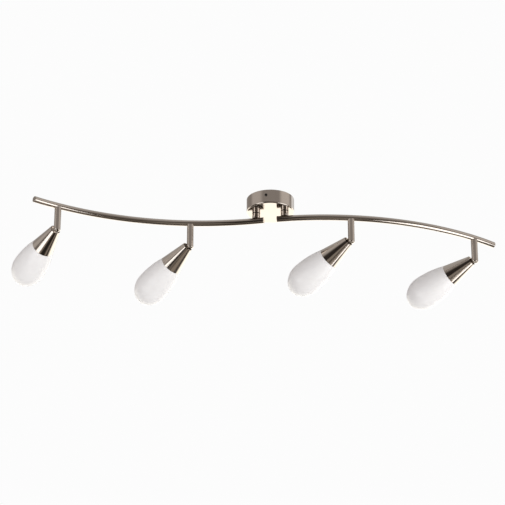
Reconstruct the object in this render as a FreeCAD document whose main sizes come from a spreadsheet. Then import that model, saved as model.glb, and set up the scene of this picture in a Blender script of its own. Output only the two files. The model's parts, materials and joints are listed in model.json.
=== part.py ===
import FreeCAD, Part
import math
import os
import re

import Sketcher

# A four-light spotlight bar for a ceiling, in millimetres. A round canopy screws to the ceiling. Two arc-shaped
# arms hang below it, each turning about a short post. Each arm carries two stems that turn in saddles, and each
# stem ends in a knuckle that tilts a cone-shaped holder with an opal glass shade.
# The origin is the centre of the ceiling face, +Z points up, and +X runs from the left post to the right one.

# (alias, value, what it is). A "drop" is a depth below the ceiling, and a "reach" is a distance from the tilt pivot
# along the axis of a head. A "run" is a length along an arm from its post.
DIMENSIONS = [
    ("play", 0.05, "clearance of a turning or sliding fit"),
    ("through", 300.0, "length of a cut that goes right through"),
    ("canopy_r", 50.0, "outer radius of the canopy"),
    ("canopy_height", 30.0, "height of the canopy"),
    ("canopy_wall", 1.0, "sheet thickness of the canopy"),
    ("canopy_edge_r", 2.5, "outer radius of the canopy's pressed edge"),
    ("post_spacing", 61.0, "distance between the two posts"),
    ("strap_wall", 1.5, "sheet thickness of the mounting strap"),
    ("strap_width", 25.0, "width of the strap's web"),
    ("strap_shoulder", 43.0, "half length of the full-width web"),
    ("strap_end", 48.3, "half length of the strap over its ears"),
    ("strap_bend_r", 1.35, "rounding of the strap's outer bends"),
    ("ear_width", 12.0, "width of a strap ear"),
    ("ear_drop", 18.0, "depth of the ears' lower edge"),
    ("slot_spacing", 60.0, "distance between the ceiling screw slots"),
    ("slot_r", 2.25, "half width of a slot"),
    ("slot_length", 12.0, "length of a slot over its ends"),
    ("side_screw_drop", 12.0, "depth of the canopy's side screws"),
    ("side_screw_r", 2.0, "thread radius of a side screw"),
    ("side_screw_length", 8.0, "length of a side screw under its head"),
    ("side_head_r", 3.0, "head radius of a side screw"),
    ("side_head", 1.6, "head height of a side screw"),
    ("side_socket_r", 1.5, "radius of a side screw's socket"),
    ("side_hole_r", 2.3, "radius of the canopy's side holes"),
    ("block_length", 30.0, "length of the terminal block"),
    ("block_width", 18.0, "width of the terminal block"),
    ("block_height", 14.0, "height of the terminal block"),
    ("pole_pitch", 10.0, "distance between the block's poles"),
    ("pole_drop", 8.5, "depth of the poles' axes"),
    ("notch_r", 1.5, "radius of the notches between poles"),
    ("insert_r", 2.5, "outer radius of a brass insert"),
    ("insert_bore_r", 1.7, "bore radius of a brass insert"),
    ("insert_length", 16.0, "length of a brass insert"),
    ("clamp_place", 5.0, "distance of a clamp screw from the block's middle"),
    ("clamp_r", 1.25, "thread radius of a clamp screw"),
    ("clamp_tip_drop", 8.4, "depth of a clamp screw's tip"),
    ("clamp_head_drop", 12.0, "depth of a clamp screw's head"),
    ("clamp_head_r", 1.9, "head radius of a clamp screw"),
    ("well_r", 2.1, "radius of the wells over the clamp screws"),
    ("block_screw_r", 1.5, "thread radius of a block screw"),
    ("screw_head", 1.8, "head height of the small screws"),
    ("block_head_r", 2.6, "head radius of a block screw"),
    ("earth_place", 19.5, "distance of the earth screw from the middle"),
    ("earth_r", 2.0, "thread radius of the earth screw"),
    ("earth_head_r", 3.6, "head radius of the earth screw and its lug"),
    ("lug_wall", 0.8, "thickness of the earth lug"),
    ("barrel_r", 1.3, "radius of the lug's crimped barrel"),
    ("screw_slot", 0.6, "width and depth of a screwdriver slot"),
    ("slot_share", 0.8, "length of a screwdriver slot as a share of its head"),
    ("core_r", 0.7, "radius of an insulated core"),
    ("core_gap", 1.6, "half distance between the two cores of a lead"),
    ("core_bend_r", 4.0, "bend radius of a core"),
    ("core_lift", 0.9, "height of a core over the axis of its pole"),
    ("feed_drop", 10.0, "depth of the feed cores over the nipples"),
    ("rail_core_lift", 2.4, "height of the long cores over the rail's axis"),
    ("drop_core_lift", 0.9, "height of the branch cores over the rail's axis"),
    ("branch_run", 18.0, "run of a branch core before its stem"),
    ("splice_length", 8.0, "length of a splice sleeve"),
    ("splice_r", 1.55, "radius of a splice sleeve"),
    ("nipple_r", 5.0, "thread radius of the hollow nipple"),
    ("nipple_bore_r", 3.6, "bore radius of the hollow nipple"),
    ("nipple_top", 20.0, "depth of the nipple's upper end"),
    ("nipple_foot", 38.0, "depth of the nipple's lower end"),
    ("washer_height", 0.95, "thickness of a slip washer"),
    ("washer_r", 7.8, "outer radius of a slip washer"),
    ("nut_across", 14.0, "width of the nut across its flats"),
    ("nut_height", 5.0, "height of the nut"),
    ("post_r", 8.5, "radius of a post"),
    ("post_foot", 41.5, "depth of a post's lower end"),
    ("arc_r", 567.0, "radius of an arm's centre line"),
    ("arm_tail", 16.5, "length of an arm from its post to the inner end"),
    ("arm_run", 485.5, "run of an arm's outer end"),
    ("inner_stem_run", 139.8, "run of the inner stem"),
    ("outer_stem_run", 428.4, "run of the outer stem"),
    ("rail_drop", 46.5, "depth of the rail's axis"),
    ("rail_r", 6.5, "outer radius of the rail tube"),
    ("rail_wall", 1.0, "wall of the rail tube"),
    ("rail_inlet_r", 4.0, "radius of the hole under the post"),
    ("rail_outlet_r", 4.6, "radius of the holes over the stems"),
    ("cap_wall", 1.2, "thickness of a rail end cap"),
    ("cap_edge_r", 0.6, "rounding of a rail end cap"),
    ("cap_plug", 5.0, "length of a cap's plug inside the tube"),
    ("left_swing", -0.7, "turn of the left arm about its post, degrees"),
    ("right_swing", 2.6, "turn of the right arm about its post, degrees"),
    ("saddle_top", 50.0, "depth of a saddle's upper edge"),
    ("saddle_foot", 61.0, "depth of a saddle's lower edge"),
    ("stem_r", 7.0, "radius of a stem and its saddle"),
    ("spigot_r", 4.2, "radius of the spigot a stem turns on"),
    ("stem_bore_r", 3.1, "bore radius of a stem"),
    ("stem_bore_foot", 85.5, "depth of the bore's lower end"),
    ("flare_r", 4.9, "radius of the spigot's swaged end"),
    ("flare_top", 47.4, "depth of the swaged end's upper face"),
    ("flare_foot", 48.6, "depth of the swaged end's lower face"),
    ("stem_foot", 104.0, "depth of a stem's lower end"),
    ("stem_edge_r", 3.0, "rounding of a stem's lower end"),
    ("pivot_drop", 94.0, "depth of the tilt pivots"),
    ("pivot_r", 1.5, "shank radius of a pivot screw"),
    ("pivot_tip", 5.3, "distance of the screw's tip from the stem's axis"),
    ("pivot_seat", 4.6, "distance of the screw head's seat from the stem's axis"),
    ("pivot_head_r", 2.7, "head radius of a pivot screw"),
    ("tongue_wall", 4.0, "thickness of a knuckle tongue"),
    ("tongue_r", 4.4, "radius of the tongue's round end"),
    ("tongue_room", 0.4, "space round the tongue's round end"),
    ("plate_reach", 12.4, "reach of the tongue's plate"),
    ("plate_wall", 2.2, "thickness of the tongue's plate"),
    ("hub_r", 4.2, "radius of the hub behind the plate"),
    ("lead_place", 6.0, "distance of a lamp lead from the head's axis"),
    ("lead_hole_r", 1.3, "radius of the lead holes in the plate"),
    ("lead_reach", 12.0, "reach of the lamp leads' ends"),
    ("cone_reach", 9.2, "reach of the cone's small end"),
    ("cone_length", 57.5, "length of the cone"),
    ("cone_small_r", 10.8, "radius of the cone's small end"),
    ("cone_mouth_r", 24.0, "radius of the cone's mouth"),
    ("cone_wall", 0.8, "sheet thickness of the cone"),
    ("holder_reach", 18.2, "reach of the lamp holder's back"),
    ("holder_r", 9.5, "radius of the lamp holder"),
    ("holder_length", 20.0, "length of the lamp holder"),
    ("holder_edge_r", 1.0, "rounding of the lamp holder"),
    ("socket_depth", 5.0, "depth of the holder's socket"),
    ("socket_room", 0.3, "space round the lamp's seal in the socket"),
    ("pin_place", 4.5, "distance of a lamp pin from the axis"),
    ("pin_r", 0.55, "radius of a lamp pin"),
    ("pin_length", 7.0, "length of a lamp pin"),
    ("seal_width", 12.6, "width of the lamp's pressed seal"),
    ("seal_wall", 4.8, "thickness of the lamp's pressed seal"),
    ("seal_length", 15.0, "length of the lamp's pressed seal"),
    ("lamp_r", 6.5, "radius of the lamp's capsule"),
    ("lamp_edge_r", 5.2, "rounding of the capsule's ends"),
    ("lamp_length", 42.0, "length of the lamp beyond its holder"),
    ("seat_gap", 0.2, "gap between the cone's mouth and the glass"),
    ("shade_neck_r", 19.5, "outer radius of the shade's neck"),
    ("shade_neck", 8.0, "length of the shade's neck"),
    ("shade_length", 110.0, "length of the shade beyond the cone"),
    ("shade_girth", 67.0, "distance of the shade's widest place from its mouth"),
    ("shade_girth_r", 35.0, "radius of the shade at its widest place"),
    ("shade_tip_r", 30.0, "rounding of the shade's tip"),
    ("shade_wall", 2.2, "wall of the glass"),
    ("ring_height", 6.2, "height of the ring that holds the glass"),
    ("ring_gap", 0.6, "distance of the ring from the cone's mouth"),
    ("heading_1", 133.0, "direction head 1 points to, from +X, degrees"),
    ("heading_2", 144.8, "direction of head 2"),
    ("heading_3", 151.6, "direction of head 3"),
    ("heading_4", 155.7, "direction of head 4"),
    ("tilt_1", 69.9, "swing of head 1 from hanging straight down, degrees"),
    ("tilt_2", 62.7, "swing of head 2"),
    ("tilt_3", 64.6, "swing of head 3"),
    ("tilt_4", 69.3, "swing of head 4"),
]
ALIASES = {alias for alias, value, note in DIMENSIONS}

SIDES = ("left", "right")
HEADS = (1, 2, 3, 4)
BOTH_WAYS = (-1, 1)
POLES = (-1, 0, 1)
STEM_RUNS = ("inner_stem_run", "outer_stem_run")
START, END, CENTRE = 1, 2, 3
ORIGIN = (-1, 1)
UP = FreeCAD.Vector(0, 0, 1)
DOWN = FreeCAD.Vector(0, 0, -1)
CLOSE = 1e-3
# Heights in the frame of a head, which hangs along -Z from its pivot.
SHADE_MOUTH = "-cone_reach - cone_length - seat_gap"
SHADE_WIDEST = f"{SHADE_MOUTH} - shade_girth"

doc = FreeCAD.newDocument("SpotlightBar")
sheet = doc.addObject("Spreadsheet::Sheet", "Size")


# ---------------------------------------------------------------- sheet and expressions


def fill_sheet():
    for row, (alias, value, note) in enumerate(DIMENSIONS, start=1):
        sheet.set(f"A{row}", note)
        sheet.set(f"B{row}", str(value))
        sheet.setAlias(f"B{row}", alias)
    doc.recompute()


def sized(expression):
    """The expression with the sheet's name put before each alias."""
    return re.sub(r"[a-z]\w*", lambda m: f"Size.{m[0]}" if m[0] in ALIASES else m[0], str(expression))


def number(expression):
    result = sheet.evalExpression(sized(expression))
    return float(getattr(result, "Value", result))


def bind(item, name, expression):
    item.setExpression(name, sized(expression))


def times(sign, expression):
    return f"{sign} * ({expression})"


# ---------------------------------------------------------------- sketches


def add_body(name, place=None):
    body = doc.addObject("PartDesign::Body", name)
    body.Label = name
    body.AllowCompound = True
    body.Placement = place or FreeCAD.Placement()
    return body


def add_sketch(body, plane, height="0", turn="0"):
    """A sketch on an origin plane, raised along the plane's normal and turned about its upright axis."""
    sketch = body.newObject("Sketcher::SketchObject", f"{body.Name}_sketch")
    support = next(item for item in body.Origin.OriginFeatures if item.Role == plane)
    sketch.AttachmentSupport = (support, "")
    sketch.MapMode = "FlatFace"
    rotation = FreeCAD.Rotation(FreeCAD.Vector(0, 1, 0), number(turn))
    sketch.AttachmentOffset = FreeCAD.Placement(FreeCAD.Vector(), rotation)
    bind(sketch, "AttachmentOffset.Base.z", height)
    return sketch


def limit(sketch, kind, *reference, size):
    index = sketch.addConstraint(Sketcher.Constraint(kind, *reference, number(size)))
    bind(sketch, f"Constraints[{index}]", size)


def pin(sketch, item, point, across, up):
    """Hold a point at two distances from the sketch's origin."""
    limit(sketch, "DistanceX", *ORIGIN, item, point, size=across)
    limit(sketch, "DistanceY", *ORIGIN, item, point, size=up)


def join(sketch, kind, loop):
    """Join each item of a closed loop to the next."""
    for item, following in zip(loop, loop[1:] + loop[:1]):
        sketch.addConstraint(Sketcher.Constraint(kind, item, END, following, START))


def spot(across, up):
    return FreeCAD.Vector(number(across), number(up), 0)


def draw_polygon(sketch, corners):
    points = [spot(*corner) for corner in corners]
    lines = [sketch.addGeometry(Part.LineSegment(p, q)) for p, q in zip(points, points[1:] + points[:1])]
    join(sketch, "Coincident", lines)
    for line, (across, up) in zip(lines, corners):
        pin(sketch, line, START, across, up)


def draw_rectangle(sketch, left, low, right, high):
    draw_polygon(sketch, [(left, low), (right, low), (right, high), (left, high)])


def draw_circle(sketch, across, up, radius):
    circle = sketch.addGeometry(Part.Circle(spot(across, up), UP, number(radius)))
    pin(sketch, circle, CENTRE, across, up)
    limit(sketch, "Radius", circle, size=radius)


def draw_ring(sketch, across, up, inner, outer):
    draw_circle(sketch, across, up, inner)
    draw_circle(sketch, across, up, outer)


def draw_slot(sketch, across, up, radius, length):
    """A slot with round ends, along the sketch's upright axis."""
    size = number(radius)
    middles = [(across, f"{up} + ({length}) / 2 - {radius}"), (across, f"{up} - ({length}) / 2 + {radius}")]
    high, low = [Part.Circle(spot(*middle), UP, size) for middle in middles]
    side = FreeCAD.Vector(size, 0, 0)
    top = sketch.addGeometry(Part.ArcOfCircle(high, 0, math.pi))
    left = sketch.addGeometry(Part.LineSegment(high.Center - side, low.Center - side))
    bottom = sketch.addGeometry(Part.ArcOfCircle(low, math.pi, 2 * math.pi))
    right = sketch.addGeometry(Part.LineSegment(low.Center + side, high.Center + side))
    join(sketch, "Tangent", [top, left, bottom, right])
    sketch.addConstraint(Sketcher.Constraint("Equal", top, bottom))
    limit(sketch, "Radius", top, size=radius)
    pin(sketch, top, CENTRE, *middles[0])
    pin(sketch, bottom, CENTRE, *middles[1])


# ---------------------------------------------------------------- features


def extrude(kind, body, sketch, length, along, midplane):
    """A pad or pocket. It runs along the sketch's normal, or against it."""
    feature = body.newObject(f"PartDesign::{kind}", f"{body.Name}_{kind.lower()}")
    feature.Profile = sketch
    feature.SideType = "Symmetric" if midplane else "One side"
    feature.Reversed = along == (kind == "Pocket")
    bind(feature, "Length", length)
    doc.recompute()


def pad(body, sketch, length, along=True, midplane=False):
    extrude("Pad", body, sketch, length, along, midplane)


def must_shrink(body, before):
    if body.Shape.Volume > before - CLOSE:
        raise RuntimeError(f"{body.Tip.Name} cuts nothing")


def cut(body, sketch, length, along=False, midplane=False):
    before = body.Shape.Volume
    extrude("Pocket", body, sketch, length, along, midplane)
    must_shrink(body, before)


def turn_about_axis(kind, body, sketch, angle):
    feature = body.newObject(f"PartDesign::{kind}", f"{body.Name}_{kind.lower()}")
    feature.Profile = sketch
    feature.ReferenceAxis = (sketch, ["V_Axis"])
    bind(feature, "Angle", angle)
    doc.recompute()


def revolve(body, sketch, angle="360"):
    turn_about_axis("Revolution", body, sketch, angle)


def groove(body, sketch):
    before = body.Shape.Volume
    turn_about_axis("Groove", body, sketch, "360")
    must_shrink(body, before)


def round_edges(body, radius, wanted):
    """Fillet the edges of the body's last feature for which wanted(edge) is true."""
    base = body.Tip
    names = [f"Edge{i}" for i, edge in enumerate(base.Shape.Edges, start=1) if wanted(edge)]
    if not names:
        raise RuntimeError(f"{body.Name} has no edge to round")
    feature = body.newObject("PartDesign::Fillet", f"{body.Name}_fillet")
    feature.Base = (base, names)
    bind(feature, "Radius", radius)
    doc.recompute()


def is_circle(edge, radius):
    return isinstance(edge.Curve, Part.Circle) and abs(edge.Curve.Radius - number(radius)) < CLOSE


def is_level_circle(edge, radius, height):
    return is_circle(edge, radius) and abs(edge.Curve.Center.z - number(height)) < CLOSE


def turned_body(name, corners, place=None):
    """A body turned about Z from a polygon of (radius, height) corners."""
    body = add_body(name, place)
    sketch = add_sketch(body, "XZ_Plane")
    draw_polygon(sketch, corners)
    revolve(body, sketch)
    return body


def slot_heads(body, places, height, head_r, along):
    """Cut a screwdriver slot into each screw head, from its face at that height."""
    sketch = add_sketch(body, "XY_Plane", height)
    for across, up in places:
        low, high = f"{up} - screw_slot / 2", f"{up} + screw_slot / 2"
        draw_rectangle(sketch, f"{across} - {head_r} * slot_share", low, f"{across} + {head_r} * slot_share", high)
    cut(body, sketch, "screw_slot", along)


def screws_from_below(name, places, thread_r, tip, seat, head_r):
    """Upright screws, with their tips at one height and their heads hanging from another."""
    body = add_body(name)
    shanks = add_sketch(body, "XY_Plane", tip)
    heads = add_sketch(body, "XY_Plane", seat)
    for across, up in places:
        draw_circle(shanks, across, up, thread_r)
        draw_circle(heads, across, up, head_r)
    pad(body, shanks, f"({tip}) - ({seat})", along=False)
    pad(body, heads, "screw_head", along=False)
    slot_heads(body, places, f"{seat} - screw_head", head_r, along=True)
    return body


# ---------------------------------------------------------------- places


def arc_place(side):
    """Frame of an arm: at the centre of its arc, at the ceiling, with X towards the post."""
    right = side == "right"
    post = FreeCAD.Vector(number("post_spacing / 2") * (1 if right else -1), 0, 0)
    swing = number("right_swing") if right else 180 + number("left_swing")
    at_post = FreeCAD.Placement(post, FreeCAD.Rotation(UP, swing))
    to_centre = FreeCAD.Placement(FreeCAD.Vector(0, number("arc_r"), 0), FreeCAD.Rotation(UP, -90))
    return at_post.multiply(to_centre)


def run_angle(run):
    """Angle in degrees at the arc's centre for a run along the arm, as an expression."""
    return f"({run}) / arc_r * 180 / pi"


def run_spot(run):
    """Expressions for the point of the arm at that run, in the arm's frame."""
    angle = f"({run_angle(run)}) * 1 deg"
    return f"arc_r * cos({angle})", f"arc_r * sin({angle})"


def run_point(run, lift, offset=0.0):
    """A point of the arm: its run, height over the rail's axis and distance outside the arc."""
    angle = run / number("arc_r")
    radius = number("arc_r") + offset
    return FreeCAD.Vector(radius * math.cos(angle), radius * math.sin(angle), lift - number("rail_drop"))


def run_direction(run):
    angle = run / number("arc_r")
    return FreeCAD.Vector(-math.sin(angle), math.cos(angle), 0)


def stem_place(head):
    """Frame of a stem: on its axis at the ceiling, with X the way its head points."""
    side = "left" if head <= 2 else "right"
    run = "outer_stem_run" if head in (1, 4) else "inner_stem_run"
    foot = arc_place(side).multVec(run_point(number(run), number("rail_drop")))
    return FreeCAD.Placement(foot, FreeCAD.Rotation(UP, number(f"heading_{head}")))


def head_place(head):
    """Frame of a head: at its pivot, with the head's axis along -Z."""
    pivot = FreeCAD.Vector(0, 0, -number("pivot_drop"))
    swing = FreeCAD.Rotation(FreeCAD.Vector(0, -1, 0), number(f"tilt_{head}"))
    return stem_place(head).multiply(FreeCAD.Placement(pivot, swing))


# ---------------------------------------------------------------- insulated cores


def rounded_route(points, radius):
    """Edges along straight runs, with a tangent arc at each inner point."""
    edges = []
    start = points[0]
    for before, corner, after in zip(points, points[1:], points[2:]):
        way_in = (corner - before).normalize()
        way_out = (after - corner).normalize()
        half_turn = way_in.getAngle(way_out) / 2
        trim = radius * math.tan(half_turn)
        arc_start, arc_end = corner - way_in * trim, corner + way_out * trim
        inward = (way_out - way_in).normalize()
        middle = corner + inward * (radius / math.cos(half_turn) - radius)
        edges += straight_edges(start, arc_start) + [Part.Arc(arc_start, middle, arc_end).toShape()]
        start = arc_end
    return edges + straight_edges(start, points[-1])


def straight_edges(start, end):
    """The straight edge between two points, or nothing where they meet."""
    return [Part.LineSegment(start, end).toShape()] if (end - start).Length > CLOSE else []


def make_core(edges):
    """An insulated core along joined edges."""
    path = Part.Wire(edges)
    first = edges[0]
    way = first.tangentAt(first.FirstParameter)
    section = Part.Wire([Part.Circle(first.valueAt(first.FirstParameter), way, number("core_r")).toShape()])
    return path.makePipeShell([section], True, False)


def lead_node(name, shapes, place=None):
    """Cores of a lead, as one node. Their routes bend in space, which no sketch holds."""
    feature = doc.addObject("Part::Feature", name)
    feature.Label = name
    feature.Shape = Part.makeCompound(shapes) if len(shapes) > 1 else shapes[0]
    feature.Placement = place or FreeCAD.Placement()
    return feature


# ---------------------------------------------------------------- canopy


def make_mounting_strap():
    """A strap across the canopy, with slots for the ceiling screws and an ear bent down at each end."""
    body = add_body("mounting_strap")
    for half_width, half_length in (("strap_width / 2", "strap_shoulder"), ("ear_width / 2", "strap_end")):
        web = add_sketch(body, "XY_Plane")
        draw_rectangle(web, f"-{half_width}", f"-{half_length}", half_width, half_length)
        pad(body, web, "strap_wall", along=False)
    ears = add_sketch(body, "XY_Plane")
    draw_rectangle(ears, "-ear_width / 2", "strap_end - strap_wall", "ear_width / 2", "strap_end")
    draw_rectangle(ears, "-ear_width / 2", "-strap_end", "ear_width / 2", "strap_wall - strap_end")
    pad(body, ears, "ear_drop", along=False)
    round_edges(body, "strap_bend_r", is_strap_bend)
    slots = add_sketch(body, "XY_Plane")
    for sign in BOTH_WAYS:
        draw_slot(slots, "0", times(sign, "slot_spacing / 2"), "slot_r", "slot_length")
    cut(body, slots, "strap_wall")
    threads = add_sketch(body, "XY_Plane")
    for sign in BOTH_WAYS:
        draw_circle(threads, "0", times(sign, "pole_pitch / 2"), "block_screw_r + play")
    draw_circle(threads, "0", "-earth_place", "earth_r + play")
    cut(body, threads, "strap_wall")
    ear_threads = add_sketch(body, "XZ_Plane")
    draw_circle(ear_threads, "0", "-side_screw_drop", "side_screw_r + play")
    cut(body, ear_threads, "through", midplane=True)
    return body


def is_strap_bend(edge):
    ends = [vertex.Point for vertex in edge.Vertexes]
    return all(abs(p.z) < CLOSE and abs(abs(p.y) - number("strap_end")) < CLOSE for p in ends)


def make_canopy_cup():
    """A round cup, open at the ceiling, with a pressed edge and holes for the nipples and side screws."""
    inside, floor = "canopy_r - canopy_wall", "canopy_wall - canopy_height"
    corners = [
        (inside, "0"),
        ("canopy_r", "0"),
        ("canopy_r", "-canopy_height"),
        ("0", "-canopy_height"),
        ("0", floor),
        (inside, floor),
    ]
    body = turned_body("canopy_cup", corners)
    round_edges(body, "canopy_edge_r", lambda e: is_level_circle(e, "canopy_r", "-canopy_height"))
    round_edges(body, "canopy_edge_r - canopy_wall", lambda e: is_level_circle(e, inside, floor))
    nipple_holes = add_sketch(body, "XY_Plane")
    for sign in BOTH_WAYS:
        draw_circle(nipple_holes, times(sign, "post_spacing / 2"), "0", "nipple_r + play")
    cut(body, nipple_holes, "through")
    side_holes = add_sketch(body, "XZ_Plane")
    draw_circle(side_holes, "0", "-side_screw_drop", "side_hole_r")
    cut(body, side_holes, "through", midplane=True)
    return body


def make_canopy_side_screws():
    """Two socket screws that hold the canopy to the strap's ears."""
    body = add_body("canopy_side_screws")
    for sign in BOTH_WAYS:
        outward = sign > 0
        seat = times(sign, "canopy_r + play")
        shank = add_sketch(body, "XZ_Plane", seat)
        draw_circle(shank, "0", "-side_screw_drop", "side_screw_r")
        pad(body, shank, "side_screw_length", along=not outward)
        head = add_sketch(body, "XZ_Plane", seat)
        draw_circle(head, "0", "-side_screw_drop", "side_head_r")
        pad(body, head, "side_head", along=outward)
    face = number("canopy_r + play + side_head")
    round_edges(
        body,
        "side_head / 2",
        lambda e: is_circle(e, "side_head_r") and abs(abs(e.Curve.Center.y) - face) < CLOSE,
    )
    for sign in BOTH_WAYS:
        socket = add_sketch(body, "XZ_Plane", times(sign, "canopy_r + play + side_head"))
        draw_circle(socket, "0", "-side_screw_drop", "side_socket_r")
        cut(body, socket, "side_head", along=sign < 0)
    return body


def clamp_places():
    return [(times(side, "clamp_place"), times(pole, "pole_pitch")) for side in BOTH_WAYS for pole in POLES]


def block_screw_places():
    return [("0", times(sign, "pole_pitch / 2")) for sign in BOTH_WAYS]


def make_terminal_block():
    """A three-pole terminal block under the strap, with wells over its clamp screws."""
    body = add_body("terminal_block")
    outline = add_sketch(body, "XY_Plane", "-strap_wall")
    draw_rectangle(outline, "-block_width / 2", "-block_length / 2", "block_width / 2", "block_length / 2")
    pad(body, outline, "block_height", along=False)
    poles = add_sketch(body, "YZ_Plane")
    for pole in POLES:
        draw_circle(poles, times(pole, "pole_pitch"), "-pole_drop", "insert_r + play")
    cut(body, poles, "through", midplane=True)
    wells = add_sketch(body, "XY_Plane", "-pole_drop")
    for across, up in clamp_places():
        draw_circle(wells, across, up, "well_r")
    cut(body, wells, "through")
    through = add_sketch(body, "XY_Plane")
    for across, up in block_screw_places():
        draw_circle(through, across, up, "block_screw_r + play")
        for side in BOTH_WAYS:
            draw_circle(through, times(side, "block_width / 2"), up, "notch_r")
    cut(body, through, "through")
    return body


def make_terminal_inserts():
    """Three brass tubes in the block, drilled for the clamp screws."""
    body = add_body("terminal_inserts")
    tubes = add_sketch(body, "YZ_Plane")
    for pole in POLES:
        draw_ring(tubes, times(pole, "pole_pitch"), "-pole_drop", "insert_bore_r", "insert_r")
    pad(body, tubes, "insert_length", midplane=True)
    drilled = add_sketch(body, "XY_Plane", "-pole_drop")
    for across, up in clamp_places():
        draw_circle(drilled, across, up, "clamp_r + play")
    cut(body, drilled, "through")
    return body


def make_terminal_screws():
    return screws_from_below(
        "terminal_screws", clamp_places(), "clamp_r", "-clamp_tip_drop", "-clamp_head_drop", "clamp_head_r"
    )


def make_block_screws():
    seat = "-strap_wall - block_height"
    return screws_from_below("block_screws", block_screw_places(), "block_screw_r", "-play", seat, "block_head_r")


def make_earth_screw():
    places = [("0", "-earth_place")]
    seat = "-strap_wall - lug_wall"
    return screws_from_below("earth_screw", places, "earth_r", "-play", seat, "earth_head_r")


def make_earth_wire():
    """A ring lug under the earth screw, with its core into the nearest pole."""
    lug_r, bore_r, wall = number("earth_head_r"), number("earth_r + play"), number("lug_wall")
    lug_foot = FreeCAD.Vector(0, -number("earth_place"), -number("strap_wall") - wall)
    barrel_end = FreeCAD.Vector(number("block_width / 2"), lug_foot.y, -number("strap_wall + barrel_r"))
    barrel_start = FreeCAD.Vector(bore_r + wall, barrel_end.y, barrel_end.z)
    ring = Part.makeCylinder(lug_r, wall, lug_foot)
    barrel_length = barrel_end.x - barrel_start.x
    barrel = Part.makeCylinder(number("barrel_r"), barrel_length, barrel_start, FreeCAD.Vector(1, 0, 0))
    head_room = Part.makeCylinder(lug_r + number("play"), 2 * lug_r, lug_foot, DOWN)
    hole = Part.makeCylinder(bore_r, 3 * wall, lug_foot - UP * wall)
    lug = ring.fuse(barrel.cut(head_room)).cut(hole).removeSplitter()
    out = FreeCAD.Vector(number("block_width / 2 + core_bend_r"), barrel_end.y, barrel_end.z)
    pole_y, pole_z = -number("pole_pitch"), number("core_lift - pole_drop")
    down = FreeCAD.Vector(out.x, out.y, pole_z)
    beside = FreeCAD.Vector(out.x, pole_y, pole_z)
    inside = FreeCAD.Vector(number("clamp_place - clamp_r"), pole_y, pole_z)
    radius = abs(pole_z - barrel_end.z) / 2
    return lead_node("earth_wire", [lug, make_core(rounded_route([barrel_end, out, down, beside, inside], radius))])


def make_feed_wires():
    """Two cores to each side, from a pole of the block to just above the nipple."""
    cores = []
    for side in BOTH_WAYS:
        for pole, offset in ((0, -number("core_gap")), (1, number("core_gap"))):
            cores.append(make_core(rounded_route(feed_points(side, pole, offset), number("core_bend_r"))))
    return lead_node("feed_wires", cores)


def feed_points(side, pole, offset):
    pole_y, pole_z = pole * number("pole_pitch"), number("core_lift - pole_drop")
    post_x, over_z = number("post_spacing / 2"), -number("feed_drop")
    lane_x = number("block_width / 2 + core_bend_r")
    points = [
        (number("clamp_place - clamp_r"), pole_y, pole_z),
        (lane_x, pole_y, pole_z),
        (post_x - 2 * number("core_bend_r"), offset, over_z),
        (post_x, offset, over_z),
        (post_x, offset, -number("nipple_top") + number("core_r")),
    ]
    return [FreeCAD.Vector(side * x, y, z) for x, y, z in points]


# ---------------------------------------------------------------- arms


def make_rail(side):
    """The arc-shaped tube of an arm, with a wire inlet on top and two outlets underneath."""
    body = add_body(f"rail_{side}", arc_place(side))
    start, end = run_angle("cap_wall - arm_tail"), run_angle("arm_run - cap_wall")
    section = add_sketch(body, "XZ_Plane", turn=start)
    draw_ring(section, "arc_r", "-rail_drop", "rail_r - rail_wall", "rail_r")
    revolve(body, section, f"{end} - ({start})")
    inlet = add_sketch(body, "XY_Plane", "-rail_drop")
    draw_circle(inlet, *run_spot("0"), "rail_inlet_r")
    cut(body, inlet, "through", along=True)
    outlets = add_sketch(body, "XY_Plane", "-rail_drop")
    for run in STEM_RUNS:
        draw_circle(outlets, *run_spot(run), "rail_outlet_r")
    cut(body, outlets, "through")
    return body


def make_rail_end_caps(side):
    """Two flush caps that plug the ends of the tube."""
    body = add_body(f"rail_end_caps_{side}", arc_place(side))
    for run, inner in (("cap_wall - arm_tail", True), ("arm_run - cap_wall", False)):
        cap = add_sketch(body, "XZ_Plane", turn=run_angle(run))
        draw_circle(cap, "arc_r", "-rail_drop", "rail_r")
        pad(body, cap, "cap_wall", along=inner)
        plug = add_sketch(body, "XZ_Plane", turn=run_angle(run))
        draw_circle(plug, "arc_r", "-rail_drop", "rail_r - rail_wall - play")
        pad(body, plug, "cap_plug", along=not inner)
    round_edges(body, "cap_edge_r", is_cap_rim)
    return body


def is_cap_rim(edge):
    if not is_circle(edge, "rail_r"):
        return False
    run = math.atan2(edge.Curve.Center.y, edge.Curve.Center.x) * number("arc_r")
    middle = number("(arm_run - arm_tail) / 2")
    half = number("(arm_run + arm_tail) / 2")
    return abs(abs(run - middle) - half) < number("cap_wall / 2")


def make_post(side):
    """A short round post, tapped for the nipple and coped to sit on the rail."""
    body = add_body(f"post_{side}", arc_place(side))
    top = "-canopy_height - play - washer_height"
    tapped = add_sketch(body, "XY_Plane", top)
    draw_ring(tapped, "arc_r", "0", "nipple_r", "post_r")
    pad(body, tapped, f"nipple_foot + ({top})", along=False)
    lower = add_sketch(body, "XY_Plane", "-nipple_foot")
    draw_ring(lower, "arc_r", "0", "nipple_bore_r", "post_r")
    pad(body, lower, "post_foot - nipple_foot", along=False)
    cope_over_rail(body)
    return body


def cope_over_rail(body):
    """Take away what the rail tube fills."""
    section = add_sketch(body, "XZ_Plane")
    draw_circle(section, "arc_r", "-rail_drop", "rail_r")
    groove(body, section)


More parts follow.
